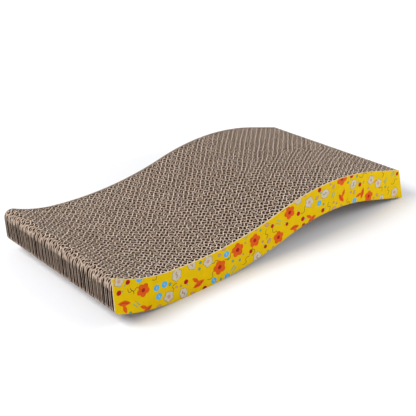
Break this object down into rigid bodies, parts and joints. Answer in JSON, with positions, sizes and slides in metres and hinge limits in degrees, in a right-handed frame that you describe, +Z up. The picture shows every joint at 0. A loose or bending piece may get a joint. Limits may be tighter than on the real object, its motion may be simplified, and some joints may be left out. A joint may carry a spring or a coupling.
{
  "type": "cardboard cat scratcher",
  "caption": "Wave-shaped floor scratcher for cats: upright corrugated cardboard boards glued face to face between two printed yellow side panels.",
  "frame": {"origin": "on the floor, at the middle of the footprint", "axes": "+X along the length from the raised lip to the tail, +Y across the boards from the front panel to the back panel, +Z up"},
  "size_m": [0.4302, 0.217, 0.0616],
  "materials": {
    "corrugated_board": "uncoated kraft",
    "printed_panel": "printed, satin"
  },
  "bodies": {
    "root": {"front_side_panel": "printed_panel", "board_01": "corrugated_board", "board_02": "corrugated_board", "board_03": "corrugated_board", "board_04": "corrugated_board", "board_05": "corrugated_board", "board_06": "corrugated_board", "board_07": "corrugated_board", "board_08": "corrugated_board", "board_09": "corrugated_board", "board_10": "corrugated_board", "board_11": "corrugated_board", "board_12": "corrugated_board", "board_13": "corrugated_board", "board_14": "corrugated_board", "board_15": "corrugated_board", "board_16": "corrugated_board", "board_17": "corrugated_board", "board_18": "corrugated_board", "board_19": "corrugated_board", "board_20": "corrugated_board", "board_21": "corrugated_board", "board_22": "corrugated_board", "board_23": "corrugated_board", "board_24": "corrugated_board", "board_25": "corrugated_board", "board_26": "corrugated_board", "board_27": "corrugated_board", "board_28": "corrugated_board", "board_29": "corrugated_board", "board_30": "corrugated_board", "board_31": "corrugated_board", "back_side_panel": "printed_panel"}
  },
  "joints": []
}
